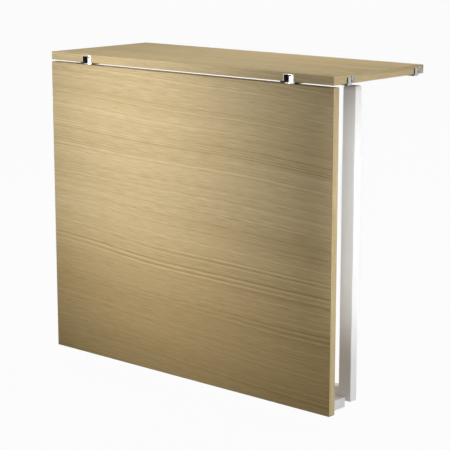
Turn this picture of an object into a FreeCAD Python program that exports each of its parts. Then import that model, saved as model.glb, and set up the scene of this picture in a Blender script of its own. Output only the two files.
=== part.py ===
import FreeCAD, Part
import os
import re

import Sketcher

# A shelf that hangs between two wall ladders, a leaf that drops from its front edge, and a
# leg that folds up behind the leaf. X runs along the shelf, +Y points into the wall, Z is up.
# The origin is the centre of the shelf's back edge. All lengths are in millimetres.

SIZES = {
    # Boards
    "shelf_width": 780.0,
    "shelf_depth": 300.0,
    "leaf_length": 650.0,
    "core_thickness": 16.0,
    "veneer_thickness": 0.7,
    "band_thickness": 1.0,
    "leaf_gap": 4.6,
    # Leaf hinges, let into the underside of the shelf's front edge
    "hinge_inset": 110.0,
    "housing_width": 26.0,
    "housing_depth": 20.0,
    "housing_metal": 1.2,
    "housing_cover": 3.0,
    "ear_width": 11.0,
    "ear_depth": 15.0,
    "ear_metal": 2.8,
    "hinge_pin_radius": 2.0,
    "knuckle_radius": 3.8,
    "knuckle_width": 14.0,
    "arm_thickness": 4.0,
    "arm_rise": 1.8,
    "screw_land": 7.0,
    "flange_depth": 14.0,
    "flange_metal": 2.0,
    "flange_screw_spacing": 7.6,
    # Hangers on the ends of the shelf
    "hanger_inset": 46.0,
    "hanger_rear_inset": 29.0,
    "hanger_metal": 3.0,
    "hanger_plate_length": 28.0,
    "hanger_plate_width": 14.0,
    "tab_width": 9.0,
    "tab_drop": 5.0,
    "peg_offset": 11.0,
    "peg_radius": 5.8,
    "peg_reach": 4.5,
    "peg_dome": 2.2,
    "spigot_radius": 3.0,
    "spigot_length": 12.0,
    # Countersunk wood screws, all of one kind
    "screw_radius": 1.5,
    "screw_length": 12.0,
    "screw_head_radius": 2.9,
    "screw_head_height": 1.4,
    # Leg rail on the leaf's back
    "rail_depth": 52.0,
    "rail_rise": 1.0,
    "rail_end_inset": 13.0,
    "rail_screw_inset": 62.0,
    "access_radius": 4.0,
    # Leg frame of rectangular tube
    "leg_width": 778.0,
    "tube_width": 30.0,
    "tube_depth": 20.0,
    "tube_wall": 1.5,
    "tube_corner": 1.2,
    "crossbar_height": 25.0,
    "cap_height": 9.0,
    "cap_dome": 5.0,
    "plug_length": 14.0,
    "foot_clearance": 6.8,
    # Leg pivots in the corner of the crossbar
    "leg_hinge_inset": 139.0,
    "pivot_inset": 4.0,
    "leg_pin_radius": 2.0,
    "lug_radius": 3.4,
    "lug_width": 8.0,
    "block_size": 6.5,
    "block_length": 14.0,
    "pad_length": 36.0,
    "pad_margin": 1.5,
    # Clearances
    "fold_clearance": 2.1,
    "side_clearance": 0.4,
    "running_clearance": 0.05,
    "seat_clearance": 0.03,
    "overrun": 5.0,
}

# Places and sizes that follow from the driving sizes, as formulas in their names
WORKED_OUT = {
    "board": "core_thickness + 2 * veneer_thickness",
    "half_width": "shelf_width / 2",
    "half_core": "core_thickness / 2",
    "half_board": "board / 2",
    "shelf_front": "-shelf_depth",
    "core_side": "half_width - band_thickness",
    "hinge_y": "shelf_front + half_board",
    "hinge_place": "half_width - hinge_inset",
    "notch_back": "shelf_front + housing_depth",
    "notch_top": "half_board - housing_cover",
    "hanger_bottom": "-half_board - hanger_metal",
    "leaf_top": "-half_board - leaf_gap",
    "leaf_bottom": "leaf_top - leaf_length",
    "leaf_back": "shelf_front + board",
    "flange_top": "leaf_top + flange_metal",
    "rail_back": "leaf_back + rail_depth",
    "rail_bottom": "leaf_bottom + rail_rise",
    "rail_top": "rail_bottom + tube_depth",
    "rail_middle": "rail_bottom + tube_depth / 2",
    "rail_half": "half_width - rail_end_inset",
    "rail_screw_reach": "rail_half - rail_screw_inset",
    "leg_front": "rail_back + fold_clearance",
    "leg_back": "leg_front + tube_depth",
    "leg_middle": "leg_front + tube_depth / 2",
    "leg_bottom": "rail_top - 2 * pivot_inset",
    "leg_end": "-half_board - foot_clearance",
    "leg_half": "leg_width / 2",
    "tube_top": "leg_end - cap_height",
    "tube_middle": "leg_half - tube_width / 2",
    "crossbar_half": "leg_half - tube_width",
    "leg_hinge_place": "leg_half - leg_hinge_inset",
    "pivot_y": "leg_front + pivot_inset",
    "pivot_z": "leg_bottom + pivot_inset",
    "slot_half": "lug_width / 2 + side_clearance",
    "slot_reach": "lug_radius + side_clearance",
    "pad_back": "leg_front - side_clearance",
    "pad_end": "rail_half - pad_margin",
    "plug_width": "tube_width / 2 - tube_wall - seat_clearance",
    "plug_depth": "tube_depth / 2 - tube_wall - seat_clearance",
}

ALONG = {
    "+x": FreeCAD.Rotation(FreeCAD.Vector(0, 1, 0), 90),
    "-y": FreeCAD.Rotation(FreeCAD.Vector(1, 0, 0), 90),
    "+z": FreeCAD.Rotation(),
    "-z": FreeCAD.Rotation(FreeCAD.Vector(1, 0, 0), 180),
}
HINGE_SIDES = {"left": "-hinge_place", "right": "hinge_place"}
HANGER_ENDS = {
    "front": "shelf_front + hanger_inset",
    "rear": "-hanger_rear_inset",
}
RAIL_SCREW_SHARES = (-1, -1 / 3, 1 / 3, 1)
TUBE_CORNERS = 4

doc = FreeCAD.newDocument("drop_leaf_table")
sheet = doc.addObject("Spreadsheet::Sheet", "sizes")
nodes = []


def fill_sheet():
    """Write each driving size into its own cell, with its name as the alias."""
    for row, (name, value) in enumerate(SIZES.items(), start=1):
        sheet.set(f"A{row}", name)
        sheet.set(f"B{row}", str(value))
        sheet.setAlias(f"B{row}", name)
    doc.recompute()


def expression(formula):
    """Spell a formula out in the names that the sheet's cells have."""

    def spell(match):
        word = match.group(0)
        if word in WORKED_OUT:
            return "(" + expression(WORKED_OUT[word]) + ")"
        return "sizes." + word

    return re.sub(r"[a-z_]+", spell, formula)


def bind(thing, name, formula):
    """Tie one property of an object to a formula."""
    thing.setExpression(name, expression(formula))


def value_of(formula):
    """The present value of a formula, in millimetres."""
    return float(sheet.evalExpression(expression(formula)))


def place(thing, at, along="+z"):
    """Turn an object along a direction and tie its position to formulas."""
    thing.Placement = FreeCAD.Placement(FreeCAD.Vector(), ALONG[along])
    for axis, formula in zip("xyz", at):
        bind(thing, f"Placement.Base.{axis}", formula)
    return thing


def box(name, low, high):
    """A block between two opposite corners."""
    block = doc.addObject("Part::Box", name)
    for side, start, end in zip(("Length", "Width", "Height"), low, high):
        bind(block, side, f"({end}) - ({start})")
    return place(block, low)


def rod(name, at, along, radius, length):
    """A round bar that starts at a point."""
    bar = doc.addObject("Part::Cylinder", name)
    bind(bar, "Radius", radius)
    bind(bar, "Height", length)
    return place(bar, at, along)


def fuse(name, *pieces):
    """Several shapes joined into one piece."""
    joined = doc.addObject("Part::MultiFuse", name)
    joined.Shapes = list(pieces)
    joined.Refine = True
    return joined


def group(name, *pieces):
    """Several separate solids kept together."""
    bundle = doc.addObject("Part::Compound", name)
    bundle.Links = list(pieces)
    return bundle


def cut(name, base, *tools):
    """A piece with one or more shapes taken out of it."""
    trimmed = doc.addObject("Part::Cut", name)
    trimmed.Base = base
    trimmed.Tool = tools[0] if len(tools) == 1 else group(name + "_tools", *tools)
    return trimmed


def node(name, piece):
    """Keep a finished piece under its own name."""
    piece.Label = name
    nodes.append(piece)


def rounded(name, base, radius, chosen):
    """A piece with the chosen edges rounded."""
    doc.recompute()
    soft = doc.addObject("Part::Fillet", name)
    soft.Base = base
    amount = value_of(radius)
    edges = enumerate(base.Shape.Edges, start=1)
    soft.Edges = [(number, amount, amount) for number, edge in edges if chosen(edge)]
    return soft


def rectangle(sketch, label, width, depth):
    """Draw a rectangle about the sketch's origin, with its two sizes tied to formulas."""
    first = sketch.GeometryCount
    half_x = value_of(width) / 2
    half_y = value_of(depth) / 2
    corners = [(-half_x, -half_y), (half_x, -half_y), (half_x, half_y), (-half_x, half_y)]
    points = [FreeCAD.Vector(x, y, 0) for x, y in corners]
    for start, end in zip(points, points[1:] + points[:1]):
        sketch.addGeometry(Part.LineSegment(start, end))
    bottom, right, top, left = range(first, first + len(points))
    for one, other in ((bottom, right), (right, top), (top, left), (left, bottom)):
        sketch.addConstraint(Sketcher.Constraint("Coincident", one, 2, other, 1))
    for line in (bottom, top):
        sketch.addConstraint(Sketcher.Constraint("Horizontal", line))
    for line in (right, left):
        sketch.addConstraint(Sketcher.Constraint("Vertical", line))
    sketch.addConstraint(Sketcher.Constraint("Symmetric", bottom, 1, right, 2, -1, 1))
    sizes = (("DistanceX", bottom, "width", width), ("DistanceY", right, "depth", depth))
    for kind, line, side, formula in sizes:
        number = sketch.addConstraint(Sketcher.Constraint(kind, line, 1, line, 2, value_of(formula)))
        sketch.renameConstraint(number, f"{label}_{side}")
        bind(sketch, f"Constraints.{label}_{side}", formula)


def is_upright(edge):
    """Whether an edge runs along Z."""
    reach = edge.BoundBox
    return reach.ZLength > reach.XLength + reach.YLength


def tube(name, width, depth, length):
    """A length of rectangular tube: its hollow section, padded, with rounded outer corners."""
    body = doc.addObject("PartDesign::Body", name)
    section = body.newObject("Sketcher::SketchObject", name + "_section")
    plane = next(face for face in body.Origin.OriginFeatures if face.Role == "XY_Plane")
    section.AttachmentSupport = (plane, [""])
    section.MapMode = "FlatFace"
    rectangle(section, "outer", width, depth)
    rectangle(section, "inner", f"({width}) - 2 * tube_wall", f"({depth}) - 2 * tube_wall")
    pad = body.newObject("PartDesign::Pad", name + "_pad")
    pad.Profile = section
    bind(pad, "Length", length)
    doc.recompute()
    uprights = []
    for number, edge in enumerate(pad.Shape.Edges, start=1):
        if is_upright(edge):
            middle = edge.BoundBox.Center
            uprights.append((abs(middle.x) + abs(middle.y), f"Edge{number}"))
    uprights.sort()
    soft = body.newObject("PartDesign::Fillet", name + "_corners")
    soft.Base = (pad, [edge for reach, edge in uprights[-TUBE_CORNERS:]])
    bind(soft, "Radius", "tube_corner")
    body.Tip = soft
    return body


def mirror(name, piece):
    """The same piece on the other side of the middle plane."""
    twin = doc.addObject("Part::Mirroring", name)
    twin.Source = piece
    twin.Normal = FreeCAD.Vector(1, 0, 0)
    return twin


def both_sides(name, piece):
    """A piece and its mirror image as one group."""
    return group(name, piece, mirror(name + "_twin", piece))


def screw(name, at, along, clearance="0"):
    """A countersunk screw whose head is flush at a point, or the hole that takes it."""
    shank = rod(name + "_shank", at, along, f"screw_radius + {clearance}", f"screw_length + {clearance}")
    head = doc.addObject("Part::Cone", name + "_head")
    bind(head, "Radius1", f"screw_head_radius + {clearance}")
    bind(head, "Radius2", f"screw_radius + {clearance}")
    bind(head, "Height", "screw_head_height")
    place(head, at, along)
    return fuse(name, shank, head)


def screws(name, places, along):
    """A group of screws, kept as one node, and the group of holes that takes them."""
    solids = [screw(f"{name}_{i}", at, along) for i, at in enumerate(places)]
    node(name, group(name, *solids))
    holes = [screw(f"{name}_hole_{i}", at, along, "seat_clearance") for i, at in enumerate(places)]
    return group(name + "_holes", *holes)


def hangers():
    """Brackets under the ends of the shelf, with a tab up the end face and a domed peg beside it."""
    screw_places = []
    pegs = []
    spigot_holes = []
    for end, middle in HANGER_ENDS.items():
        plate = box(
            f"hanger_plate_{end}",
            ("half_width - hanger_plate_length", f"{middle} - hanger_plate_width / 2", "hanger_bottom"),
            ("half_width + hanger_metal", f"{middle} + hanger_plate_width / 2", "-half_board"),
        )
        tab = box(
            f"hanger_tab_{end}",
            ("half_width", f"{middle} - tab_width / 2", "hanger_bottom"),
            ("half_width + hanger_metal", f"{middle} + tab_width / 2", "half_board - tab_drop"),
        )
        bracket = fuse(f"hanger_bracket_{end}", plate, tab)
        at = ("half_width - hanger_plate_length / 2", middle, "hanger_bottom")
        hole = screw(f"hanger_hole_{end}", at, "+z", "seat_clearance")
        drilled = cut(f"hanger_{end}_right", bracket, hole)
        node(f"hanger_{end}_right", drilled)
        node(f"hanger_{end}_left", mirror(f"hanger_{end}_left", drilled))
        screw_places.append(at)
        screw_places.append((f"-({at[0]})", at[1], at[2]))
        peg_y = f"{middle} + peg_offset"
        button = rod(f"peg_button_{end}", ("half_width", peg_y, "0"), "+x", "peg_radius", "peg_reach")
        outside = value_of("half_width + peg_reach / 2")
        domed = rounded(
            f"peg_dome_{end}", button, "peg_dome",
            lambda edge: edge.BoundBox.XMin > outside,
        )
        start = ("half_width - spigot_length", peg_y, "0")
        spigot = rod(f"peg_spigot_{end}", start, "+x", "spigot_radius", "spigot_length")
        pegs.append(both_sides(f"pegs_{end}", fuse(f"peg_{end}", domed, spigot)))
        drill = rod(
            f"spigot_hole_{end}",
            ("half_width - spigot_length - seat_clearance", peg_y, "0"),
            "+x", "spigot_radius + seat_clearance", "spigot_length + overrun",
        )
        spigot_holes.append(both_sides(f"spigot_holes_{end}", drill))
    node("hanger_pegs", group("hanger_pegs", *pegs))
    screw_holes = screws("hanger_screws", screw_places, "+z")
    return screw_holes, group("spigot_holes", *spigot_holes)


def leaf_hinges():
    """Housings let into the shelf, their pins, and the arms that carry the leaf."""
    notches = []
    housing_screw_places = []
    arm_screw_places = []
    for side, middle in HINGE_SIDES.items():
        left = f"{middle} - housing_width / 2"
        right = f"{middle} + housing_width / 2"
        notches.append(box(
            f"notch_{side}",
            (left, "shelf_front - overrun", "-half_board - overrun"),
            (right, "notch_back", "notch_top"),
        ))
        pin_hole = rod(
            f"cheek_hole_{side}", (left, "hinge_y", "0"), "+x",
            "hinge_pin_radius + seat_clearance", "housing_width",
        )
        holes = [pin_hole]
        ears = []
        for hand, sign in (("a", "-"), ("b", "+")):
            edge = "housing_width / 2 - housing_metal"
            reach = "(housing_width / 2 + ear_width)"
            inner_edge = f"{middle} {sign} ({edge})"
            outer_edge = f"{middle} {sign} {reach}"
            ends = (inner_edge, outer_edge) if sign == "+" else (outer_edge, inner_edge)
            ears.append(box(
                f"ear_{side}_{hand}",
                (ends[0], "notch_back - ear_depth", "-half_board - ear_metal"),
                (ends[1], "notch_back", "-half_board"),
            ))
            at = (
                f"{middle} {sign} (housing_width / 2 + ear_width / 2)",
                "notch_back - ear_depth / 2",
                "-half_board - ear_metal",
            )
            housing_screw_places.append(at)
            holes.append(screw(f"ear_hole_{side}_{hand}", at, "+z", "seat_clearance"))
        outside = box(
            f"housing_outside_{side}",
            (left, "shelf_front", "-half_board"),
            (right, "notch_back", "notch_top"),
        )
        inside = box(
            f"housing_inside_{side}",
            (f"{left} + housing_metal", "shelf_front - overrun", "-half_board - overrun"),
            (f"{right} - housing_metal", "notch_back - housing_metal", "notch_top - housing_metal"),
        )
        shell = cut(f"housing_shell_{side}", outside, inside)
        eared = fuse(f"housing_eared_{side}", shell, *ears)
        node(f"hinge_housing_{side}", cut(f"hinge_housing_{side}", eared, *holes))
        node(f"hinge_pin_{side}", rod(
            f"hinge_pin_{side}", (left, "hinge_y", "0"), "+x",
            "hinge_pin_radius", "housing_width",
        ))
        knuckle_end = f"{right} - housing_metal - side_clearance"
        knuckle_start = f"{knuckle_end} - knuckle_width"
        knuckle = rod(
            f"knuckle_{side}", (knuckle_start, "hinge_y", "0"), "+x",
            "knuckle_radius", "knuckle_width",
        )
        stem = box(
            f"stem_{side}",
            (knuckle_start, "hinge_y - knuckle_radius", "leaf_top"),
            (knuckle_end, "hinge_y - knuckle_radius + arm_thickness", "arm_rise"),
        )
        flange = box(
            f"flange_{side}",
            (f"{knuckle_start} - screw_land", "hinge_y - flange_depth / 2", "leaf_top"),
            (knuckle_end, "hinge_y + flange_depth / 2", "flange_top"),
        )
        arm_holes = [rod(
            f"knuckle_bore_{side}", (knuckle_start, "hinge_y", "0"), "+x",
            "hinge_pin_radius + running_clearance", "knuckle_width",
        )]
        for hand, sign in (("a", "-"), ("b", "+")):
            at = (
                f"{knuckle_start} - screw_land / 2",
                f"hinge_y {sign} flange_screw_spacing / 2",
                "flange_top",
            )
            arm_screw_places.append(at)
            arm_holes.append(screw(f"arm_hole_{side}_{hand}", at, "-z", "seat_clearance"))
        arm = fuse(f"arm_{side}", knuckle, stem, flange)
        node(f"hinge_arm_{side}", cut(f"hinge_arm_{side}", arm, *arm_holes))
    housing_holes = screws("housing_screws", housing_screw_places, "+z")
    arm_holes = screws("arm_screws", arm_screw_places, "-z")
    return group("notches", *notches), housing_holes, arm_holes


def shelf_boards(notches, screw_holes, spigot_holes):
    """The shelf's core, its two veneers and the bands round its edges."""
    low = ("-core_side", "shelf_front + band_thickness")
    high = ("core_side", "-band_thickness")
    core = box("shelf_core_blank", (*low, "-half_core"), (*high, "half_core"))
    node("shelf_core", cut("shelf_core", core, notches, screw_holes, spigot_holes))
    node("shelf_top_veneer", box("shelf_top_veneer", (*low, "half_core"), (*high, "half_board")))
    under = box("shelf_underside_blank", (*low, "-half_board"), (*high, "-half_core"))
    node("shelf_underside_veneer", cut("shelf_underside_veneer", under, notches, screw_holes))
    front = box(
        "shelf_front_blank", ("-half_width", "shelf_front", "-half_board"),
        ("half_width", "shelf_front + band_thickness", "half_board"),
    )
    back = box(
        "shelf_back_band", ("-half_width", "-band_thickness", "-half_board"),
        ("half_width", "0", "half_board"),
    )
    end = box(
        "shelf_end_blank", ("core_side", "shelf_front + band_thickness", "-half_board"),
        ("half_width", "-band_thickness", "half_board"),
    )
    ends = cut("shelf_end_bands", both_sides("shelf_end_blanks", end), spigot_holes)
    node("shelf_edge_bands", group("shelf_edge_bands", cut("shelf_front_band", front, notches), back, ends))


def leaf_boards(arm_holes, rail_holes):
    """The leaf's core, its two veneers and the bands round its edges."""
    inner_low = "leaf_bottom + band_thickness"
    inner_high = "leaf_top - band_thickness"
    front = "shelf_front + veneer_thickness"
    back = "leaf_back - veneer_thickness"
    core = box("leaf_core_blank", ("-core_side", front, inner_low), ("core_side", back, inner_high))
    node("leaf_core", cut("leaf_core", core, arm_holes, rail_holes))
    node("leaf_front_veneer", box(
        "leaf_front_veneer", ("-core_side", "shelf_front", inner_low), ("core_side", front, inner_high),
    ))
    skin = box("leaf_back_blank", ("-core_side", back, inner_low), ("core_side", "leaf_back", inner_high))
    node("leaf_back_veneer", cut("leaf_back_veneer", skin, rail_holes))
    top = box(
        "leaf_top_blank", ("-half_width", "shelf_front", inner_high),
        ("half_width", "leaf_back", "leaf_top"),
    )
    bottom = box(
        "leaf_bottom_band", ("-half_width", "shelf_front", "leaf_bottom"),
        ("half_width", "leaf_back", inner_low),
    )
    side = box(
        "leaf_side_band", ("core_side", "shelf_front", inner_low),
        ("half_width", "leaf_back", inner_high),
    )
    bands = (cut("leaf_top_band", top, arm_holes), bottom, both_sides("leaf_side_bands", side))
    node("leaf_edge_bands", group("leaf_edge_bands", *bands))


def leg_rail():
    """The rail along the leaf's free edge, its plugs, screws, stop pads and pivot lugs.

    The leg turns about a line inside its corner, so the corner swings out past both of its
    faces. The fold clearance leaves room for that, and the pads take it up in the open leg.
    """
    blank = tube("rail_tube", "tube_depth", "rail_depth", "2 * rail_half")
    place(blank, ("-rail_half", "leaf_back + rail_depth / 2", "rail_middle"), "+x")
    screw_places = []
    access = []
    for number, share in enumerate(RAIL_SCREW_SHARES):
        x = f"{share} * rail_screw_reach"
        screw_places.append((x, "leaf_back + tube_wall", "rail_middle"))
        access.append(rod(
            f"access_hole_{number}", (x, "rail_back + overrun", "rail_middle"), "-y",
            "access_radius", "2 * overrun",
        ))
    rail_holes = screws("rail_screws", screw_places, "-y")
    node("leg_rail", cut("leg_rail", blank, rail_holes, *access))
    plug = box(
        "rail_plug",
        (
            "rail_half - plug_length",
            "leaf_back + tube_wall + seat_clearance",
            "rail_bottom + tube_wall + seat_clearance",
        ),
        ("rail_half", "rail_back - tube_wall - seat_clearance", "rail_top - tube_wall - seat_clearance"),
    )
    node("rail_end_plugs", both_sides("rail_end_plugs", plug))
    start = "leg_hinge_place - lug_width / 2"
    eye = rod("lug_eye", (start, "pivot_y", "pivot_z"), "+x", "lug_radius", "lug_width")
    neck = box(
        "lug_neck", (start, "rail_back", "pivot_z - lug_radius"),
        ("leg_hinge_place + lug_width / 2", "pivot_y", "pivot_z + lug_radius"),
    )
    bore = rod(
        "lug_bore", (start, "pivot_y", "pivot_z"), "+x",
        "leg_pin_radius + running_clearance", "lug_width",
    )
    pad = box(
        "stop_pad", ("pad_end - pad_length", "rail_back", "rail_bottom + pad_margin"),
        ("pad_end", "pad_back", "leg_bottom - pad_margin"),
    )
    node("leg_stop_pads", both_sides("leg_stop_pads", pad))
    lug = cut("leg_lug_right", fuse("lug_blank", eye, neck), bore)
    node("leg_lug_right", lug)
    node("leg_lug_left", mirror("leg_lug_left", lug))
    return rail_holes


def leg_frame():
    """Two tubes and a crossbar, with caps on the feet and plugs in the hinge ends."""
    leg = tube("leg_tube_right", "tube_width", "tube_depth", "tube_top - leg_bottom")
    place(leg, ("tube_middle", "leg_middle", "leg_bottom"))
    node("leg_tube_right", leg)
    node("leg_tube_left", mirror("leg_tube_left", leg))
    blank = tube("crossbar_tube", "crossbar_height", "tube_depth", "2 * crossbar_half")
    place(blank, ("-crossbar_half", "leg_middle", "leg_bottom + crossbar_height / 2"), "+x")
    slot = box(
        "lug_slot",
        ("leg_hinge_place - slot_half", "leg_front - overrun", "leg_bottom - overrun"),
        ("leg_hinge_place + slot_half", "pivot_y + slot_reach", "pivot_z + slot_reach"),
    )
    node("leg_crossbar", cut("leg_crossbar", blank, both_sides("lug_slots", slot)))
    head = box(
        "cap_blank", ("tube_middle - tube_width / 2", "leg_front", "tube_top"),
        ("tube_middle + tube_width / 2", "leg_back", "leg_end"),
    )
    corners = rounded("cap_corners", head, "tube_corner", is_upright)
    rim = value_of("leg_end - tube_corner")
    dome = rounded("cap_dome_form", corners, "cap_dome", lambda edge: edge.BoundBox.ZMin > rim)
    stopper = box(
        "cap_stopper", ("tube_middle - plug_width", "leg_middle - plug_depth", "tube_top - plug_length"),
        ("tube_middle + plug_width", "leg_middle + plug_depth", "tube_top"),
    )
    cap = fuse("foot_cap_right", dome, stopper)
    node("foot_cap_right", cap)
    node("foot_cap_left", mirror("foot_cap_left", cap))
    plug = box(
        "tube_plug", ("tube_middle - plug_width", "leg_middle - plug_depth", "leg_bottom"),
        ("tube_middle + plug_width", "leg_middle + plug_depth", "leg_bottom + plug_length"),
    )
    node("tube_end_plugs", both_sides("tube_end_plugs", plug))


def leg_pivots():
    """Pins across the crossbar's slots, seated in blocks on both sides of each slot."""
    start = "leg_hinge_place - slot_half - block_length"
    length = "2 * (slot_half + block_length)"
    pin = rod("leg_pin_right", (start, "pivot_y", "pivot_z"), "+x", "leg_pin_radius", length)
    node("leg_pin_right", pin)
    node("leg_pin_left", mirror("leg_pin_left", pin))
    bore = rod(
        "block_bore", (start, "pivot_y", "pivot_z"), "+x", "leg_pin_radius + seat_clearance", length,
    )
    low = ("leg_front + tube_wall", "leg_bottom + tube_wall")
    high = ("leg_front + tube_wall + block_size", "leg_bottom + tube_wall + block_size")
    inner = box("block_inner", (start, *low), ("leg_hinge_place - slot_half", *high))
    outer = box(
        "block_outer", ("leg_hinge_place + slot_half", *low),
        ("leg_hinge_place + slot_half + block_length", *high),
    )
    pair = cut("block_pair", group("block_blanks", inner, outer), bore)
    node("leg_pivot_blocks", both_sides("leg_pivot_blocks", pair))


def check_document():
    """Stop if any object failed or any piece is not a sound solid."""
    for thing in doc.Objects:
        if "Invalid" in thing.State or "Error" in thing.State:
            raise RuntimeError(f"{thing.Name} failed: {thing.State}")
    for piece in nodes:
        shape = piece.Shape
        if shape.isNull() or not shape.isValid() or not shape.Solids:
            raise RuntimeError(f"{piece.Label} is not a sound solid")


def write_parts():
    """Write each piece to a file of its own name."""
    os.makedirs("parts", exist_ok=True)
    for piece in nodes:
        piece.Shape.exportStep(f"parts/{piece.Label}.step")


def main():
    fill_sheet()
    hanger_holes, spigot_holes = hangers()
    notches, housing_holes, arm_holes = leaf_hinges()
    shelf_boards(notches, group("shelf_screw_holes", hanger_holes, housing_holes), spigot_holes)
    leaf_boards(arm_holes, leg_rail())
    leg_frame()
    leg_pivots()
    doc.recompute()
    check_document()
    write_parts()


main()
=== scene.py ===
import math

import bmesh
import bpy
from bpy.props import FloatProperty, FloatVectorProperty, PointerProperty
from mathutils import Euler, Matrix, Vector


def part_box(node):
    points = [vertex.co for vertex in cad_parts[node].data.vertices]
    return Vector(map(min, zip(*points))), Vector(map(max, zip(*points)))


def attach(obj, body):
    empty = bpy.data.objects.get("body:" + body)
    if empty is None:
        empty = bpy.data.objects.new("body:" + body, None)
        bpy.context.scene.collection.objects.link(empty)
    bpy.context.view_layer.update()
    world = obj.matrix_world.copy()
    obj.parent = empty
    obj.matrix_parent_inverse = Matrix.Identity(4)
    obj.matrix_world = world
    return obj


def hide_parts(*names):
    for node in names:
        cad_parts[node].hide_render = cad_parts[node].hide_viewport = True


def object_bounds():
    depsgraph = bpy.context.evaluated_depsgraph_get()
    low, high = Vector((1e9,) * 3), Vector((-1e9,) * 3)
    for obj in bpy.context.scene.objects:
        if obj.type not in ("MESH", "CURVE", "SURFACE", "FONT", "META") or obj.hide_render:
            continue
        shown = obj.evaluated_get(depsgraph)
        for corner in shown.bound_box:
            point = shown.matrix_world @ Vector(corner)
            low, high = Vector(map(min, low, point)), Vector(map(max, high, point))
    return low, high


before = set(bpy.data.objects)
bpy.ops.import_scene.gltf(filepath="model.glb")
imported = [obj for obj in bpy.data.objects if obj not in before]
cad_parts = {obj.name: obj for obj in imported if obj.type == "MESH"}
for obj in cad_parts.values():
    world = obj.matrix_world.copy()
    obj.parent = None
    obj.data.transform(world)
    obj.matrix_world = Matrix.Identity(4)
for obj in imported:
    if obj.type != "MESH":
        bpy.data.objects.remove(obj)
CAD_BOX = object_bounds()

bl_info = {
    "name": "Drop leaf wall table",
    "version": (1, 0, 0),
    "blender": (4, 5, 0),
    "location": "3D View > Sidebar > Drop leaf table",
    "description": "Dresses a wall hung drop leaf table in oak, lacquer and steel, and sets its studio",
    "category": "Object",
}

# Veneers, with the seed of each one's figure
VENEERS = {
    "shelf_top_veneer": 3.0,
    "shelf_underside_veneer": 11.0,
    "leaf_front_veneer": 221.0,
    "leaf_back_veneer": 37.0,
}

# Edge bands: the body each rides on, and the seed of its figure
BANDS = {"shelf_edge_bands": ("shelf", 53.0), "leaf_edge_bands": ("leaf", 57.0)}

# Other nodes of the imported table, by finish
CORES = ("shelf_core", "leaf_core")
HANGERS = ("hanger_front_left", "hanger_front_right", "hanger_rear_left", "hanger_rear_right")
HOUSINGS = ("hinge_housing_left", "hinge_housing_right")
ARMS = ("hinge_arm_left", "hinge_arm_right")
HINGE_PINS = ("hinge_pin_left", "hinge_pin_right")
LEG_PIVOTS = ("leg_pin_left", "leg_pin_right", "leg_pivot_blocks")
LACQUERED = (
    "leg_rail", "leg_tube_left", "leg_tube_right", "leg_crossbar", "leg_lug_left", "leg_lug_right",
)
PLASTICS = ("foot_cap_left", "foot_cap_right", "tube_end_plugs", "rail_end_plugs")
PADS = ("leg_stop_pads",)

# Screw groups: the body each rides on and the way its heads face
SCREW_GROUPS = {
    "hanger_screws": ("shelf", Vector((0, 0, -1))),
    "housing_screws": ("shelf", Vector((0, 0, -1))),
    "arm_screws": ("leaf", Vector((0, 0, 1))),
    "rail_screws": ("leaf", Vector((0, 1, 0))),
}

# Layers of the oak's figure: cycles per metre along and across the grain, and detail
OAK_LAYERS = {
    "sway": (1.5, 3.0, 1.0),
    "broad": (0.9, 15.0, 2.0),
    "bundle": (0.45, 9.0, 1.0),
    "growth": (0.45, 215.0, 2.0),
    "fleck": (24.0, 820.0, 1.0),
    "pore": (55.0, 900.0, 1.0),
}

# Middle of a noise's range
NOISE_MIDDLE = 0.5

# Levels of the oak's noise between which each feature rises from none to full
OAK_RISE = {
    "bundle": (0.50, 0.63),
    "dark": (0.50, 0.66),
    "bright": (0.54, 0.68),
    "pore": (0.60, 0.72),
    "pore_field": (0.42, 0.60),
}

# What each feature adds to the depth of the oak's colour; the edge line is painted shade on the bands'
# strips
OAK_DEPTH = {"plain": 0.40, "dark": 0.80, "broad": 0.50, "fleck": 0.92, "painted_edge_shade": 0.8}

# Strength that the growth lines keep between their bundles
QUIET_GROWTH = 0.38

# Places across the grain, in metres, between which the painted shade tint, warmer and darker towards the
# leaf's free edge, fades out
SHADE_TINT_REACH = (-0.62, -0.20)

# Surface of the oak: tint of its pores, what late wood and pores add to its roughness, and relief in metres
OAK_SURFACE = {
    "pore_tint": 0.40, "late_roughness": 0.10, "pore_roughness": 0.12, "specular": 0.05,
    "growth_relief": 0.3, "relief": (0.0001, 0.45),
}

# Share of the place along x that sets the figures of the two end bands apart
END_SHIFT = 0.5

# Finishes: a texture is cycles per metre, then detail and roughness, and a relief is metres and strength
CORE = {
    "chips": 420.0, "flatness": (1.0, 1.0, 2.6), "grit": (1500.0, 2.0),
    "pale": (0.50, 0.37, 0.23), "dark": (0.30, 0.21, 0.12), "dust": (0.62, 0.50, 0.34), "dusting": 0.35,
    "roughness": 0.75, "grit_roughness": 0.2, "specular": 0.15, "relief": (0.0003, 0.7),
}
STEEL = {
    "along": 260.0, "across": 5200.0, "cloud": (240.0, 3.0), "cloud_rise": (0.30, 0.75), "clouding": 0.35,
    "shade": 0.76, "cloud_roughness": 0.16, "drawn_roughness": 0.08, "relief": (0.00002, 0.5),
}
STEEL_ROUGHNESS = {"pressed": 0.05, "turned": 0.08, "hanger": 0.42, "peg": 0.46, "screw": 0.24}
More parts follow.
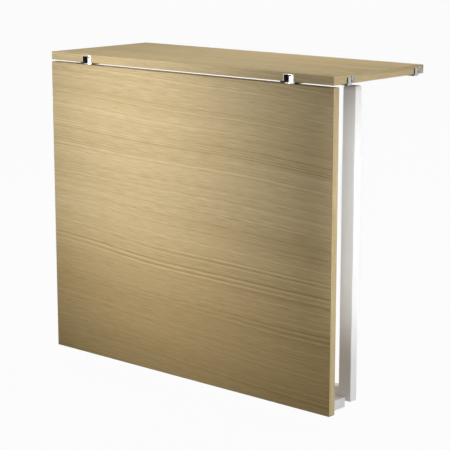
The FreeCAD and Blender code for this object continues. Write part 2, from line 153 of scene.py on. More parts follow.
# Black standing in for shade: painted shade inside the hinge housings, on the hinge pins and on the
# hangers' front edges
SHADE_BLACK = {
    "bloom": (320.0, 3.0), "bloom_rise": (0.45, 0.80), "blooming": 0.4, "rubbed": (0.10, 0.10, 0.105),
    "grit": (2400.0, 2.0), "roughness": 0.50, "grit_roughness": 0.25, "specular": 0.2,
    "relief": (0.00003, 0.4),
}
LACQUER = {
    "peel": (420.0, 2.0, 0.55), "cloud": (9.0, 2.0), "clouded": (0.76, 0.765, 0.77), "clouding": 0.30,
    "specks": (1800.0, 1.0), "speck_rise": (0.70, 0.80), "speck": (0.55, 0.55, 0.55), "specking": 0.06,
    "roughness": 0.36, "cloud_roughness": 0.10, "peel_roughness": 0.06, "specular": 0.45,
    "relief": (0.00006, 0.20),
}
PLASTIC = {
    "grain": (2600.0, 2.0), "flow": (60.0, 2.0), "flowed": (0.73, 0.73, 0.71), "flowing": 0.30,
    "roughness": 0.44, "grain_roughness": 0.14, "specular": 0.4, "relief": (0.00004, 0.4),
}
RUBBER = {
    "bloom": (130.0, 3.0), "bloom_rise": (0.4, 0.8), "dusty": (0.13, 0.13, 0.13), "blooming": 0.5,
    "grit": (3000.0, 1.0), "roughness": 0.72, "grit_roughness": 0.2, "specular": 0.25,
    "relief": (0.00005, 0.5),
}

# A face looks along an axis where that part of its normal is past this
FACING = 0.5

# A length times this takes in what lies exactly at it
JUST_OVER = 1.01

# Meshes: points this near in metres are one, and faces this near to flat are one
SAME_PLACE = 1e-6
FLAT = math.radians(0.5)

# Digits of a place in metres that count when solids are put in order
ORDER_DIGITS = 5

# Edges sharper than the first angle are eased, and sharper than the others they are shaded as edges
EASED_ANGLE = math.radians(40)
PIECE_EDGE = math.radians(32)
SCREW_EDGE = math.radians(35)

# Steps across an eased edge, and the profile that makes it round
EASE_SEGMENTS = 2
ROUND_PROFILE = 0.5

# Screws: sides, ridges, and shares of the head's radius, the shank's, a ridge's pitch and the recess's rim
SCREW_SIDES = 28
SCREW_RIDGES = 7
SCREW = {
    "face": 0.94, "rim": 0.05, "shank": 0.52, "root": 0.78, "point": 0.12, "ridge": 0.3,
    "recess_reach": 0.55, "recess_width": 0.8,
}

# Turn of the first screw's recess, and from each screw to the next, in whole turns
FIRST_SPIN, NEXT_SPIN = 0.11, 0.37

# Welds: rows along a seam, steps round its fillet, ripples, shares of its leg, and how its ends run in
WELD_ROWS = 40
WELD_ARC = 6
WELD_RIPPLES = 9
WELD = {"inset": 0.6, "body": 0.86, "ripple": 0.14, "end": 0.25, "run_in": 6}

# Softboxes: place, point faced, width and height, and opening of the grid in degrees
LAMPS = {
    "key": ((-2.92, -4.10, 0.88), (-0.157, -0.30, -0.104), (0.29, 0.80), 11.1),
    "side": ((2.30, -0.66, -0.10), (0.39, -0.22, -0.34), (0.60, 0.60), 84),
    "strip": ((1.55, -1.75, -0.27), (0.40, -0.20, -0.27), (0.05, 0.44), 6),
    "back": ((0.95, 1.05, 2.40), (0.0, -0.15, -0.15), (1.20, 1.20), 180),
    "left": ((-2.20, 0.35, 0.35), (-0.2, -0.2, -0.3), (1.20, 1.20), 180),
}

# Places of the Mix node's two colours and of its mixed colour among its sockets
MIX_FIRST, MIX_SECOND, MIX_RESULT = 6, 7, 2

# Width of the camera's frame in millimetres
ACROSS_FRAME_MM = 36.0

# A whole turn in radians, and plain white
TURN = 2 * math.pi
WHITE = (1, 1, 1, 1)


class OakFinish(bpy.types.PropertyGroup):
    """Colours and figure of the oak veneer and its edge bands."""

    pale: FloatVectorProperty(
        name="Pale wood", description="Early wood in the thin bright growth lines", subtype="COLOR",
        default=(0.70, 0.562, 0.330), min=0, max=1,
    )
    deep: FloatVectorProperty(
        name="Deep wood", description="Late wood in the dark growth lines", subtype="COLOR",
        default=(0.385, 0.277, 0.126), min=0, max=1,
    )
    pore: FloatVectorProperty(
        name="Pores", description="Open pores along the grain", subtype="COLOR",
        default=(0.30, 0.215, 0.105), min=0, max=1,
    )
    edge: FloatVectorProperty(
        name="Edge band", description="Early wood of the bands round the boards", subtype="COLOR",
        default=(0.70, 0.570, 0.340), min=0, max=1,
    )
    # Painted shade: a warmer, darker tint towards the leaf's free edge
    shade_tint: FloatVectorProperty(
        name="Painted shade tint", description="Tint of the wood towards the leaf's free edge", subtype="COLOR",
        default=(1.0, 0.93, 0.78), min=0, max=1,
    )
    sway: FloatProperty(
        name="Grain sway", description="How far the growth lines wander across the board", unit="LENGTH",
        default=0.050,
    )
    lean: FloatProperty(
        name="Grain lean", description="Fall of the growth lines towards the right, per length",
        default=0.045,
    )
    depth: FloatProperty(
        name="Figure", description="Strength of the growth lines", subtype="FACTOR",
        default=0.50, min=0, max=1,
    )
    sheen: FloatProperty(
        name="Lacquer roughness", description="Roughness of the clear matt lacquer", subtype="FACTOR",
        default=0.70, min=0, max=1,
    )


class MetalFinish(bpy.types.PropertyGroup):
    """Colours of the steel fittings, the white leg frame and its caps and pads."""

    steel: FloatVectorProperty(
        name="Zinc", description="Bright zinc on the hinges, pins and screws", subtype="COLOR",
        default=(0.74, 0.74, 0.75), min=0, max=1,
    )
    hanger: FloatVectorProperty(
        name="Hanger steel", description="Duller zinc of the hangers", subtype="COLOR",
        default=(0.46, 0.46, 0.47), min=0, max=1,
    )
    peg: FloatVectorProperty(
        name="Peg steel", description="Dark grey steel of the hangers' pegs", subtype="COLOR",
        default=(0.31, 0.31, 0.315), min=0, max=1,
    )
    # Painted shade: black that stands in for the shade inside the hinge housings, on the hinge pins and on
    # the hangers' front edges
    dark: FloatVectorProperty(
        name="Painted shade black", description="Insides and pins of the hinges, front edges of the hangers",
        subtype="COLOR", default=(0.035, 0.034, 0.033), min=0, max=1,
    )
    lacquer: FloatVectorProperty(
        name="White lacquer", description="Powder coat on the leg frame and rail", subtype="COLOR",
        default=(0.90, 0.90, 0.90), min=0, max=1,
    )
    plastic: FloatVectorProperty(
        name="White plastic", description="Moulded caps and plugs", subtype="COLOR",
        default=(0.80, 0.80, 0.79), min=0, max=1,
    )
    rubber: FloatVectorProperty(
        name="Rubber", description="Stop pads on the rail", subtype="COLOR",
        default=(0.055, 0.055, 0.058), min=0, max=1,
    )


class FittingSizes(bpy.types.PropertyGroup):
    """Small sizes of the eased edges, the screw heads and the welds."""

    board_ease: FloatProperty(
        name="Board arris", description="Rounding of the edge bands' corners", unit="LENGTH",
        default=0.0005,
    )
    metal_ease: FloatProperty(
        name="Metal arris", description="Rounding of pressed steel edges", unit="LENGTH", default=0.0003,
    )
    recess_reach: FloatProperty(
        name="Recess reach", description="Half length of a screw's cross recess", unit="LENGTH",
        default=0.0017,
    )
    recess_width: FloatProperty(
        name="Recess width", description="Half width of a cross recess's arms", unit="LENGTH",
        default=0.00042,
    )
    recess_depth: FloatProperty(
        name="Recess depth", description="Depth of a cross recess", unit="LENGTH", default=0.0011,
    )
    weld: FloatProperty(
        name="Weld leg", description="Leg of the fillet weld on the crossbar", unit="LENGTH",
        default=0.0022,
    )


class StageSet(bpy.types.PropertyGroup):
    """Camera, lamps and floor."""

    eye: FloatVectorProperty(
        name="Camera", description="Where the camera stands", subtype="TRANSLATION", unit="LENGTH",
        default=(2.1224, -2.5980, 0.3219),
    )
    heading: FloatProperty(
        name="Heading", description="Turn of the camera to the left of the wall's normal", subtype="ANGLE",
        default=math.radians(41.096),
    )
    pitch: FloatProperty(
        name="Pitch", description="Tilt of the camera above level", subtype="ANGLE",
        default=math.radians(-11.775),
    )
    lens: FloatProperty(
        name="Focal length", description="Lens on a 36 mm frame", unit="CAMERA", default=122.2,
    )
    key_power: FloatProperty(
        name="Key power", description="Gridded softbox in front, to the left", unit="POWER", default=1.78,
    )
    side_power: FloatProperty(
        name="Side power", description="Softbox at the right", unit="POWER", default=5.0,
    )
    strip_power: FloatProperty(
        name="Strip power", description="Narrow strip light on the right tube of the leg", unit="POWER",
        default=0.100,
    )
    back_power: FloatProperty(
        name="Back power", description="Softbox behind and above", unit="POWER", default=43.5,
    )
    left_power: FloatProperty(
        name="Left power", description="Softbox at the left", unit="POWER", default=14.0,
    )
    ambient: FloatProperty(name="Room light", description="Strength of the even light", default=0.10, min=0)
    floor_drop: FloatProperty(
        name="Floor", description="Room left between the hanging leaf and the floor", unit="LENGTH",
        default=0.0344,
    )
    floor_tone: FloatProperty(
        name="Floor tone", description="Brightness of the floor", subtype="FACTOR",
        default=0.40, min=0, max=1,
    )
    floor_glow: FloatProperty(
        name="Floor white", description="Share of the room's white that the eye sees on the floor",
        subtype="FACTOR", default=0.965, min=0, max=1,
    )
    floor_size: FloatProperty(
        name="Floor size", description="Side of the floor", unit="LENGTH", default=60.0,
    )


class Wire:
    """A node socket that takes part in sums, so that shader maths reads as Python."""

    def __init__(self, graph, socket):
        self.graph = graph
        self.socket = socket

    def math(self, operation, *others):
        return self.graph.node("Math", {"operation": operation}, dict(enumerate((self, *others))))

    def __add__(self, other):
        return self.math("ADD", other)

    def __radd__(self, other):
        return self.math("ADD", other)

    def __sub__(self, other):
        return self.math("SUBTRACT", other)

    def __rsub__(self, other):
        return self.graph.node("Math", {"operation": "SUBTRACT"}, {0: other, 1: self})

    def __mul__(self, other):
        return self.math("MULTIPLY", other)

    def __rmul__(self, other):
        return self.math("MULTIPLY", other)

    def __abs__(self):
        return self.math("ABSOLUTE")

    def __gt__(self, other):
        return self.math("GREATER_THAN", other)

    def clamped(self):
        return self.graph.node("Clamp", {}, {"Value": self})

    def ramp(self, low, high):
        """0 below low, 1 above high, eased between."""
        inputs = {"Value": self, "From Min": low, "From Max": high}
        return self.graph.node("MapRange", {"interpolation_type": "SMOOTHSTEP"}, inputs)


class Graph:
    """The node tree of one material or world."""

    def __init__(self, tree):
        self.tree = tree
        self.tree.nodes.clear()

    def node(self, kind, settings, inputs, output=0):
        """Add a shader node: its settings first, then the values or wires of its sockets."""
        made = self.tree.nodes.new("ShaderNode" + kind)
        for name, value in settings.items():
            setattr(made, name, value)
        for name, value in inputs.items():
            socket = made.inputs[name]
            if isinstance(value, Wire):
                self.tree.links.new(value.socket, socket)
            else:
                socket.default_value = value
        if isinstance(output, tuple):
            return [Wire(self, made.outputs[name]) for name in output]
        return Wire(self, made.outputs[output]) if made.outputs else None

    def split(self, vector):
        """The three parts of a vector as wires."""
        return self.node("SeparateXYZ", {}, {0: vector}, ("X", "Y", "Z"))

    def join(self, x, y, z):
        return self.node("CombineXYZ", {}, {0: x, 1: y, 2: z})

    def place(self, what="Object"):
        """Coordinates that stay with the piece as its body moves."""
        return self.node("TexCoord", {}, {}, what)

    def noise(self, at, scale=1.0, detail=2.0, roughness=0.5):
        inputs = {"Vector": at, "Scale": scale, "Detail": detail, "Roughness": roughness}
        return self.node("TexNoise", {}, inputs)

    def mix(self, amount, first, second, blend="MIX"):
        """Two colours mixed; each is a wire or three numbers."""
        settings = {"data_type": "RGBA", "blend_type": blend}
        ends = [end if isinstance(end, Wire) else rgba(end) for end in (first, second)]
        inputs = {"Factor": amount, MIX_FIRST: ends[0], MIX_SECOND: ends[1]}
        return self.node("Mix", settings, inputs, MIX_RESULT)

    def bump(self, height, distance, strength):
        return self.node("Bump", {}, {"Height": height, "Distance": distance, "Strength": strength})

    def surface(self, sockets):
        """Close the tree with one Principled shader."""
        shader = self.node("BsdfPrincipled", {}, sockets)
        self.node("OutputMaterial", {}, {"Surface": shader})


def rgba(colour):
    return (*tuple(colour)[:3], 1.0)


def new_material(name):
    material = bpy.data.materials.new(name)
    material.use_nodes = True
    return material, Graph(material.node_tree)


def oak_figure(graph, along, across, seed, oak):
    """Depth of colour and pores of sliced oak: growth lines, bundles of them and flecks."""
    def layer(name, line):
        long, short, detail = OAK_LAYERS[name]
        at = graph.join(along * long, line * short, seed + list(OAK_LAYERS).index(name))
        return graph.noise(at, detail=detail)

    line = across + along * oak.lean + (layer("sway", across) - NOISE_MIDDLE) * oak.sway
    growth, fleck = layer("growth", line), layer("fleck", line)
    bundled = layer("bundle", line).ramp(*OAK_RISE["bundle"])
    strength = QUIET_GROWTH + bundled * (1 - QUIET_GROWTH)
    dark = (1 - growth).ramp(*OAK_RISE["dark"]) * strength
    bright = growth.ramp(*OAK_RISE["bright"]) * strength
    late = OAK_DEPTH["plain"] + (dark * OAK_DEPTH["dark"] - bright) * oak.depth
    late += (layer("broad", line) - NOISE_MIDDLE) * OAK_DEPTH["broad"]
    late += (fleck - NOISE_MIDDLE) * OAK_DEPTH["fleck"]
    pores = layer("pore", line).ramp(*OAK_RISE["pore"]) * fleck.ramp(*OAK_RISE["pore_field"])
    # Painted shade: 1 high up, falling to 0 towards the leaf's free edge, where the warm tint darkens the
    # oak
    shade_tint = across.ramp(*SHADE_TINT_REACH)
    return late.clamped(), pores, growth, shade_tint


def oak_surface(graph, late, pores, growth, shade_tint, pale, oak):
    """Close an oak material: colour, matt lacquer and the relief of its pores."""
    colour = graph.mix(late, pale, oak.deep)
    # Painted shade: the warm tint multiplied in towards the leaf's free edge
    colour = graph.mix(1 - shade_tint, colour, oak.shade_tint, "MULTIPLY")
    colour = graph.mix(pores * OAK_SURFACE["pore_tint"], colour, oak.pore)
    roughness = oak.sheen + late * OAK_SURFACE["late_roughness"] + pores * OAK_SURFACE["pore_roughness"]
    graph.surface({
        "Base Color": colour,
        "Roughness": roughness.clamped(),
        "Specular IOR Level": OAK_SURFACE["specular"],
        "Normal": graph.bump(growth * OAK_SURFACE["growth_relief"] - pores, *OAK_SURFACE["relief"]),
    })


def veneer_material(name, across_axis, seed, oak):
    """Oak veneer with its grain along the boards' length."""
    material, graph = new_material(name)
    parts = dict(zip("xyz", graph.split(graph.place())))
    figure = oak_figure(graph, parts["x"], parts[across_axis], seed, oak)
    oak_surface(graph, *figure, oak.pale, oak)
    return material


def band_material(name, end_axis, seed, oak):
    """Edge band whose grain follows each strip, with painted shade, a dark line, where it shows on a
    board's face.
    """
    material, graph = new_material(name)
    parts = dict(zip("xyz", graph.split(graph.place())))
    facing = graph.split(graph.place("Normal"))
    at_end = abs(facing[0]) > FACING
    thick_axis = "y" if end_axis == "z" else "z"
    along = parts["x"] * (1 - at_end) + parts[end_axis] * at_end
    across = parts[thick_axis] + parts["x"] * at_end * END_SHIFT
    late, pores, growth, shade_tint = oak_figure(graph, along, across, seed, oak)
    # Painted shade: the band's strip on a board's face is darkened to a dark line
    painted_edge_shade = abs(facing["xyz".index(thick_axis)]) > FACING
    late = (late + painted_edge_shade * OAK_DEPTH["painted_edge_shade"]).clamped()
    oak_surface(graph, late, pores, growth, shade_tint, oak.edge, oak)
    return material


def core_material():
    """Pressed board: coarse chips in the middle of the boards."""
    material, graph = new_material("core_board")
    flattened = graph.node("VectorMath", {"operation": "MULTIPLY"}, {0: graph.place(), 1: CORE["flatness"]})
    inputs = {"Vector": flattened, "Scale": CORE["chips"]}
    tone = graph.split(graph.node("TexVoronoi", {"feature": "F1"}, inputs, "Color"))[0]
    grit = graph.noise(graph.place(), *CORE["grit"])
    colour = graph.mix(tone, CORE["pale"], CORE["dark"])
    colour = graph.mix(grit * CORE["dusting"], colour, CORE["dust"])
    graph.surface({
        "Base Color": colour,
        "Roughness": CORE["roughness"] + grit * CORE["grit_roughness"],
        "Specular IOR Level": CORE["specular"],
        "Normal": graph.bump(tone + grit, *CORE["relief"]),
    })
    return material


def steel_material(name, colour, drawn_axis, roughness):
    """Zinc over pressed steel, with faint drawing lines and clouding."""
    material, graph = new_material(name)
    parts = dict(zip("xyz", graph.split(graph.place())))
    stretch = {axis: STEEL["along"] if axis == drawn_axis else STEEL["across"] for axis in "xyz"}
    drawn = graph.noise(graph.join(*(parts[axis] * stretch[axis] for axis in "xyz")))
    cloud = graph.noise(graph.place(), *STEEL["cloud"])
    clouded = cloud.ramp(*STEEL["cloud_rise"]) * STEEL["clouding"]
    uneven = cloud * STEEL["cloud_roughness"] + drawn * STEEL["drawn_roughness"]
    graph.surface({
        "Base Color": graph.mix(clouded, colour, [part * STEEL["shade"] for part in colour]),
        "Metallic": 1.0,
        "Roughness": (roughness + uneven).clamped(),
        "Normal": graph.bump(drawn, *STEEL["relief"]),
    })
    return material


def shade_black_material(colour):
    """Black standing in for shade, painted shade: nearly matt, with a rubbed bloom."""
    material, graph = new_material("blackened_steel")
    bloom = graph.noise(graph.place(), *SHADE_BLACK["bloom"]).ramp(*SHADE_BLACK["bloom_rise"])
    grit = graph.noise(graph.place(), *SHADE_BLACK["grit"])
    graph.surface({
        "Base Color": graph.mix(bloom * SHADE_BLACK["blooming"], colour, SHADE_BLACK["rubbed"]),
        "Roughness": (SHADE_BLACK["roughness"] + grit * SHADE_BLACK["grit_roughness"]).clamped(),
        "Specular IOR Level": SHADE_BLACK["specular"],
        "Normal": graph.bump(grit, *SHADE_BLACK["relief"]),
    })
    return material


def lacquer_material(colour):
    """Satin powder coat: fine orange peel, faint handling marks."""
    material, graph = new_material("white_lacquer")
    peel = graph.noise(graph.place(), *LACQUER["peel"])
    cloud = graph.noise(graph.place(), *LACQUER["cloud"])
    specks = graph.noise(graph.place(), *LACQUER["specks"]).ramp(*LACQUER["speck_rise"])
    tone = graph.mix(cloud * LACQUER["clouding"], colour, LACQUER["clouded"])
    tone = graph.mix(specks * LACQUER["specking"], tone, LACQUER["speck"])
    uneven = cloud * LACQUER["cloud_roughness"] + peel * LACQUER["peel_roughness"]
    graph.surface({
        "Base Color": tone,
        "Roughness": (LACQUER["roughness"] + uneven).clamped(),
        "Specular IOR Level": LACQUER["specular"],
        "Normal": graph.bump(peel, *LACQUER["relief"]),
    })
    return material


def plastic_material(colour):
    """Moulded satin plastic with a fine spark texture."""
    material, graph = new_material("white_plastic")
    grain = graph.noise(graph.place(), *PLASTIC["grain"])
    flow = graph.noise(graph.place(), *PLASTIC["flow"])
    graph.surface({
        "Base Color": graph.mix(flow * PLASTIC["flowing"], colour, PLASTIC["flowed"]),
        "Roughness": (PLASTIC["roughness"] + grain * PLASTIC["grain_roughness"]).clamped(),
        "Specular IOR Level": PLASTIC["specular"],
        "Normal": graph.bump(grain, *PLASTIC["relief"]),
    })
    return material


def rubber_material(colour):
    """Matt rubber with a dusty bloom."""
    material, graph = new_material("grey_rubber")
    bloom = graph.noise(graph.place(), *RUBBER["bloom"]).ramp(*RUBBER["bloom_rise"])
    grit = graph.noise(graph.place(), *RUBBER["grit"])
    graph.surface({
        "Base Color": graph.mix(bloom * RUBBER["blooming"], colour, RUBBER["dusty"]),
        "Roughness": (RUBBER["roughness"] + grit * RUBBER["grit_roughness"]).clamped(),
        "Specular IOR Level": RUBBER["specular"],
        "Normal": graph.bump(grit, *RUBBER["relief"]),
    })
    return material


def paint(thing, material):
    """Give a piece one material all over."""
    thing.data.materials.clear()
    thing.data.materials.append(material)


def piece_from(name, bm, material, body):
    """Turn a finished bmesh into a piece that rides on a body."""
    mesh = bpy.data.meshes.new(name)
    bm.to_mesh(mesh)
    bm.free()
    made = bpy.data.objects.new(name, mesh)
    bpy.context.scene.collection.objects.link(made)
    paint(made, material)
    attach(made, body)
    return made


def eased(node, body, material, radius):
    """A piece with the node's own shape and softly rounded edges, which stands for the node."""
    bm = bmesh.new()
    bm.from_mesh(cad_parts[node].data)
    bmesh.ops.remove_doubles(bm, verts=bm.verts, dist=SAME_PLACE)
    bmesh.ops.dissolve_limit(bm, angle_limit=FLAT, verts=bm.verts, edges=bm.edges, delimit={"NORMAL"})
    sharp = [edge for edge in bm.edges if edge.is_manifold and edge.calc_face_angle() > EASED_ANGLE]
    bmesh.ops.bevel(
        bm, geom=sharp, offset=radius, offset_type="OFFSET", segments=EASE_SEGMENTS, profile=ROUND_PROFILE,
        affect="EDGES", clamp_overlap=True,
    )
    bmesh.ops.triangulate(bm, faces=[face for face in bm.faces if len(face.verts) > 4])
    bmesh.ops.recalc_face_normals(bm, faces=bm.faces)
    made = piece_from(node + "_eased", bm, material, body)
    made.data.shade_smooth()
    made.data.set_sharp_from_angle(angle=PIECE_EDGE)
    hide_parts(node)
    return made


def islands(mesh):
    """Boxes of the separate solids in a mesh, as lowest and highest corners."""
    bm = bmesh.new()
    bm.from_mesh(mesh)
    bmesh.ops.remove_doubles(bm, verts=bm.verts, dist=SAME_PLACE)
    left = set(bm.verts)
    boxes = []
    while left:
        start = left.pop()
        found = [start]
        for vert in found:
            near = [edge.other_vert(vert) for edge in vert.link_edges]
            found.extend(other for other in near if other in left)
            left.difference_update(near)
        corners = [[pick(vert.co[axis] for vert in found) for axis in range(3)] for pick in (min, max)]
        boxes.append((Vector(corners[0]), Vector(corners[1])))
    bm.free()
    return sorted(boxes, key=lambda box: tuple(round(part, ORDER_DIGITS) for part in box[0]))


def ring_of(bm, radius, height, sides):
    points = [(math.cos(TURN * i / sides), math.sin(TURN * i / sides)) for i in range(sides)]
    return [bm.verts.new((radius * x, radius * y, height)) for x, y in points]


def cross_of(bm, reach, half, height):
    """The twelve corners of a cross, counter-clockwise."""
    arm = [(reach, -half), (reach, half), (half, half)]
    corners = []
    for quarter in range(4):
        turn = Matrix.Rotation(TURN * quarter / 4, 2)
        corners.extend(turn @ Vector(corner) for corner in arm)
    return [bm.verts.new((x, y, height)) for x, y in corners]


def skin(bm, lower, upper):
    """Quads between two rings of as many points."""
    count = len(lower)
    for i in range(count):
        bm.faces.new((lower[i], lower[(i + 1) % count], upper[(i + 1) % count], upper[i]))


def loop_edges(bm, ring):
    count = len(ring)
    return [bm.edges.get((ring[i], ring[(i + 1) % count])) for i in range(count)]


def countersunk_screw(bm, place, sizes, head, length):
    """A wood screw with its head up at the origin: cross recess, cone, ridged shank and point."""
    before = set(bm.verts)
    shank = head * SCREW["shank"]
    cone = head - shank
    profile = [(head * SCREW["face"], 0.0), (head, -head * SCREW["rim"]), (shank, -cone)]
    pitch = (length - cone) / (SCREW_RIDGES + 2)
    root, ridge = shank * SCREW["root"], pitch * SCREW["ridge"]
    for i in range(SCREW_RIDGES):
        at = -cone - pitch * (i + 1)
        profile.extend([(root, at + ridge), (shank, at), (root, at - ridge)])
    profile.append((shank * SCREW["point"], -length))
    rings = [ring_of(bm, radius, height, SCREW_SIDES) for radius, height in profile]
    for upper, lower in zip(rings, rings[1:]):
        skin(bm, lower, upper)
    bm.faces.new(list(reversed(rings[-1])))
    reach, width = sizes.recess_reach, sizes.recess_width
    rim = cross_of(bm, reach, width, 0.0)
    floor = cross_of(bm, reach * SCREW["recess_reach"], width * SCREW["recess_width"], -sizes.recess_depth)
    skin(bm, rim, floor)
    bm.faces.new(floor)
    bm.edges.ensure_lookup_table()
    bmesh.ops.triangle_fill(
        bm, use_beauty=True, use_dissolve=False, edges=loop_edges(bm, rings[0]) + loop_edges(bm, rim),
        normal=(0, 0, 1),
    )
    fresh = [vert for vert in bm.verts if vert not in before]
    bmesh.ops.transform(bm, matrix=place, verts=fresh)


class TABLE_OT_boards(bpy.types.Operator):
    """Veneer the shelf and the leaf, and show their pressed cores"""

    bl_idname = "drop_leaf.boards"
    bl_label = "Boards"

    def execute(self, context):
        oak = context.scene.drop_leaf_oak
        for node, seed in VENEERS.items():
            across = "y" if node.startswith("shelf") else "z"
            paint(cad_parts[node], veneer_material(node + "_oak", across, seed, oak))
        core = core_material()
        for node in CORES:
            paint(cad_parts[node], core)
        return {"FINISHED"}


class TABLE_OT_edge_bands(bpy.types.Operator):
    """Make the edge bands of the boards with eased corners"""

    bl_idname = "drop_leaf.edge_bands"
    bl_label = "Edge bands"

    def execute(self, context):
        oak = context.scene.drop_leaf_oak
        sizes = context.scene.drop_leaf_sizes
        for node, (body, seed) in BANDS.items():
            end_axis = "y" if body == "shelf" else "z"
            material = band_material(node + "_oak", end_axis, seed, oak)
            eased(node, body, material, sizes.board_ease)
        return {"FINISHED"}


class TABLE_OT_steelwork(bpy.types.Operator):
    """Make the hangers, hinge housings and arms, and finish the pins and pegs"""

    bl_idname = "drop_leaf.steelwork"
    bl_label = "Steel fittings"

    def execute(self, context):
        metal = context.scene.drop_leaf_metal
        ease = context.scene.drop_leaf_sizes.metal_ease
        bright = steel_material("pressed_zinc", metal.steel, "x", STEEL_ROUGHNESS["pressed"])
        turned = steel_material("turned_zinc", metal.steel, "y", STEEL_ROUGHNESS["turned"])
        grey = steel_material("hanger_steel", metal.hanger, "z", STEEL_ROUGHNESS["hanger"])
        dull = steel_material("peg_steel", metal.peg, "x", STEEL_ROUGHNESS["peg"])
        dark = shade_black_material(metal.dark)
        # Painted shade: each hanger's faces that look to the front in black
        for node in HANGERS:
            hanger = eased(node, "shelf", grey, ease)
            self.paint_shade_on(hanger, dark, lambda face: face.normal.y < -FACING)
        # Painted shade: each housing's inside in black, all but its front rim
        for node in HOUSINGS:
            housing = eased(node, "shelf", bright, ease)
            rim = min(vert.co.y for vert in housing.data.vertices) + ease * JUST_OVER
            self.paint_shade_on(housing, dark, lambda face: face.center.y > rim)
        for node in ARMS:
            eased(node, "leaf", bright, ease)
        # Painted shade: the hinge pins in black, to go with the black inside of the housings
        for node in HINGE_PINS:
            paint(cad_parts[node], dark)
        for node in LEG_PIVOTS:
            paint(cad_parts[node], turned)
        paint(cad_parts["hanger_pegs"], dull)
        return {"FINISHED"}

    def paint_shade_on(self, piece, dark, chosen):
        """Paint shade in black on the chosen faces: a housing's inside, or a hanger's front edges."""
        piece.data.materials.append(dark)
        for face in piece.data.polygons:
            if chosen(face):
                face.material_index = 1


class TABLE_OT_screws(bpy.types.Operator):
    """Make the countersunk screws with their cross recesses"""

    bl_idname = "drop_leaf.screws"
    bl_label = "Screws"

    def execute(self, context):
        sizes = context.scene.drop_leaf_sizes
        colour = context.scene.drop_leaf_metal.steel
        material = steel_material("screw_zinc", colour, "z", STEEL_ROUGHNESS["screw"])
        for group, (body, facing) in SCREW_GROUPS.items():
            bm = bmesh.new()
            turn = Vector((0, 0, 1)).rotation_difference(facing).to_matrix().to_4x4()
            for number, (low, high) in enumerate(islands(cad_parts[group].data)):
                middle = (low + high) / 2
                span = high - low
                length = abs(span.dot(facing))
                head = min(span) / 2 if length > min(span) else sorted(span)[1] / 2
                place = Matrix.Translation(middle + facing * (length / 2)) @ turn
                spin = Matrix.Rotation(TURN * (FIRST_SPIN + NEXT_SPIN * number), 4, "Z")
                countersunk_screw(bm, place @ spin, sizes, head, length)
            bmesh.ops.recalc_face_normals(bm, faces=bm.faces)
            made = piece_from(group + "_driven", bm, material, body)
            made.data.shade_smooth()
            made.data.set_sharp_from_angle(angle=SCREW_EDGE)
            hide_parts(group)
        return {"FINISHED"}


class TABLE_OT_leg(bpy.types.Operator):
    """Lacquer the leg frame and its rail, and weld the crossbar to the tubes"""

    bl_idname = "drop_leaf.leg"
    bl_label = "Leg frame"

    def execute(self, context):
        material = lacquer_material(context.scene.drop_leaf_metal.lacquer)
        for node in LACQUERED:
            paint(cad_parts[node], material)
        self.weld(context.scene.drop_leaf_sizes.weld, material)
        return {"FINISHED"}

    def weld(self, leg, material):
        """A rippled fillet in the corner between the crossbar's top and each tube."""
        low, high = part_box("leg_crossbar")
        bm = bmesh.new()
        inset = leg * WELD["inset"]
        for side in (-1, 1):
            corner = high.x if side > 0 else low.x
            rows = []
            for i in range(WELD_ROWS + 1):
                share = i / WELD_ROWS
                y = low.y + inset + (high.y - low.y - 2 * inset) * share
                swell = leg * (WELD["body"] + WELD["ripple"] * math.sin(TURN * share * WELD_RIPPLES))
                swell *= min(1.0, WELD["run_in"] * min(share, 1 - share) + WELD["end"])
                row = [bm.verts.new((corner, y, high.z))]
                for j in range(WELD_ARC + 1):
                    turn = TURN / 4 * j / WELD_ARC
                    row.append(bm.verts.new((
                        corner - side * swell * math.cos(turn), y, high.z + swell * math.sin(turn),
                    )))
                rows.append(row)
            for one, two in zip(rows, rows[1:]):
                skin(bm, one, two)
            bm.faces.new(rows[0])
            bm.faces.new(list(reversed(rows[-1])))
        bmesh.ops.recalc_face_normals(bm, faces=bm.faces)
        made = piece_from("crossbar_welds", bm, material, "leg")
        made.data.shade_smooth()


class TABLE_OT_caps(bpy.types.Operator):
    """Finish the foot caps and the plugs in the tube ends"""

    bl_idname = "drop_leaf.caps"
    bl_label = "Caps and plugs"

    def execute(self, context):
        material = plastic_material(context.scene.drop_leaf_metal.plastic)
        for node in PLASTICS:
            paint(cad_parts[node], material)
        return {"FINISHED"}


class TABLE_OT_pads(bpy.types.Operator):
    """Finish the rubber stop pads on the rail"""

    bl_idname = "drop_leaf.pads"
    bl_label = "Stop pads"

    def execute(self, context):
        material = rubber_material(context.scene.drop_leaf_metal.rubber)
        for node in PADS:
            paint(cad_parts[node], material)
        return {"FINISHED"}


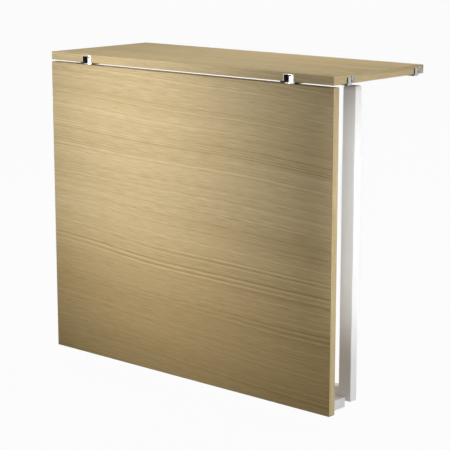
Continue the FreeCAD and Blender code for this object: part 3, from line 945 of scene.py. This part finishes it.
class TABLE_OT_stage(bpy.types.Operator):
    """Set the camera, the lamps, the even light and the floor"""

    bl_idname = "drop_leaf.stage"
    bl_label = "Stage"

    def execute(self, context):
        stage = context.scene.drop_leaf_stage
        context.scene.view_settings.view_transform = "Standard"
        self.camera(context, stage)
        for name, settings in LAMPS.items():
            self.lamp(context, name + "_lamp", getattr(stage, name + "_power"), *settings)
        self.room(context, stage)
        self.floor(context, stage)
        return {"FINISHED"}

    def camera(self, context, stage):
        data = bpy.data.cameras.new("camera")
        data.sensor_width = ACROSS_FRAME_MM
        data.lens = stage.lens
        made = bpy.data.objects.new("camera", data)
        made.location = stage.eye
        made.rotation_euler = Euler((math.pi / 2 + stage.pitch, 0, stage.heading))
        context.scene.collection.objects.link(made)
        context.scene.camera = made

    def lamp(self, context, name, power, place, aim, sides, spread):
        data = bpy.data.lights.new(name, "AREA")
        data.shape = "RECTANGLE"
        data.energy = power
        data.size, data.size_y = sides
        data.spread = math.radians(spread)
        made = bpy.data.objects.new(name, data)
        made.location = place
        made.rotation_euler = (Vector(aim) - Vector(place)).to_track_quat("-Z", "Y").to_euler()
        made.visible_camera = False
        context.scene.collection.objects.link(made)

    def seen(self, graph):
        """1 where the eye looks straight, through glass or into a mirror, else 0."""
        rays = ("Is Camera Ray", "Is Glossy Ray", "Is Transmission Ray")
        straight, mirrored, through = graph.node("LightPath", {}, {}, rays)
        return (straight + mirrored + through).clamped()

    def room(self, context, stage):
        world = bpy.data.worlds.new("room")
        context.scene.world = world
        world.use_nodes = True
        graph = Graph(world.node_tree)
        seen = self.seen(graph)
        strength = seen + (1 - seen) * stage.ambient
        light = graph.node("Background", {}, {"Color": WHITE, "Strength": strength})
        graph.node("OutputWorld", {}, {"Surface": light})

    def floor(self, context, stage):
        """A pale floor that stays white to the eye and takes a soft shadow."""
        half = stage.floor_size / 2
        height = CAD_BOX[0].z - stage.floor_drop
        mesh = bpy.data.meshes.new("floor")
        sides = ((-half, -half), (half, -half), (half, half), (-half, half))
        mesh.from_pydata([(x, y, height) for x, y in sides], [], [(0, 1, 2, 3)])
        made = bpy.data.objects.new("floor", mesh)
        context.scene.collection.objects.link(made)
        material, graph = new_material("floor")
        matt = graph.node("BsdfDiffuse", {}, {"Color": rgba([stage.floor_tone] * 3)})
        clear = graph.node("BsdfTransparent", {}, {"Color": WHITE})
        mixed = graph.node("MixShader", {}, {0: self.seen(graph) * stage.floor_glow, 1: matt, 2: clear})
        graph.node("OutputMaterial", {}, {"Surface": mixed})
        paint(made, material)


OPERATORS = (
    TABLE_OT_boards, TABLE_OT_edge_bands, TABLE_OT_steelwork, TABLE_OT_screws, TABLE_OT_leg, TABLE_OT_caps,
    TABLE_OT_pads, TABLE_OT_stage,
)
GROUPS = {
    "drop_leaf_oak": OakFinish,
    "drop_leaf_metal": MetalFinish,
    "drop_leaf_sizes": FittingSizes,
    "drop_leaf_stage": StageSet,
}


class TABLE_PT_panel(bpy.types.Panel):
    """Sizes, colours and steps of the drop leaf table"""

    bl_label = "Drop leaf table"
    bl_idname = "TABLE_PT_panel"
    bl_space_type = "VIEW_3D"
    bl_region_type = "UI"
    bl_category = "Drop leaf table"

    def draw(self, context):
        for group in GROUPS:
            column = self.layout.column(align=True)
            settings = getattr(context.scene, group)
            for name in GROUPS[group].__annotations__:
                column.prop(settings, name)
        for operator in OPERATORS:
            self.layout.operator(operator.bl_idname)


def register():
    for group in GROUPS.values():
        bpy.utils.register_class(group)
    for operator in OPERATORS:
        bpy.utils.register_class(operator)
    bpy.utils.register_class(TABLE_PT_panel)
    for name, group in GROUPS.items():
        setattr(bpy.types.Scene, name, PointerProperty(type=group))


def unregister():
    for name in GROUPS:
        delattr(bpy.types.Scene, name)
    bpy.utils.unregister_class(TABLE_PT_panel)
    for known in (*OPERATORS, *GROUPS.values()):
        bpy.utils.unregister_class(known)


def main():
    register()
    for operator in OPERATORS:
        family, name = operator.bl_idname.split(".")
        getattr(getattr(bpy.ops, family), name)()


if __name__ == "__main__":
    main()
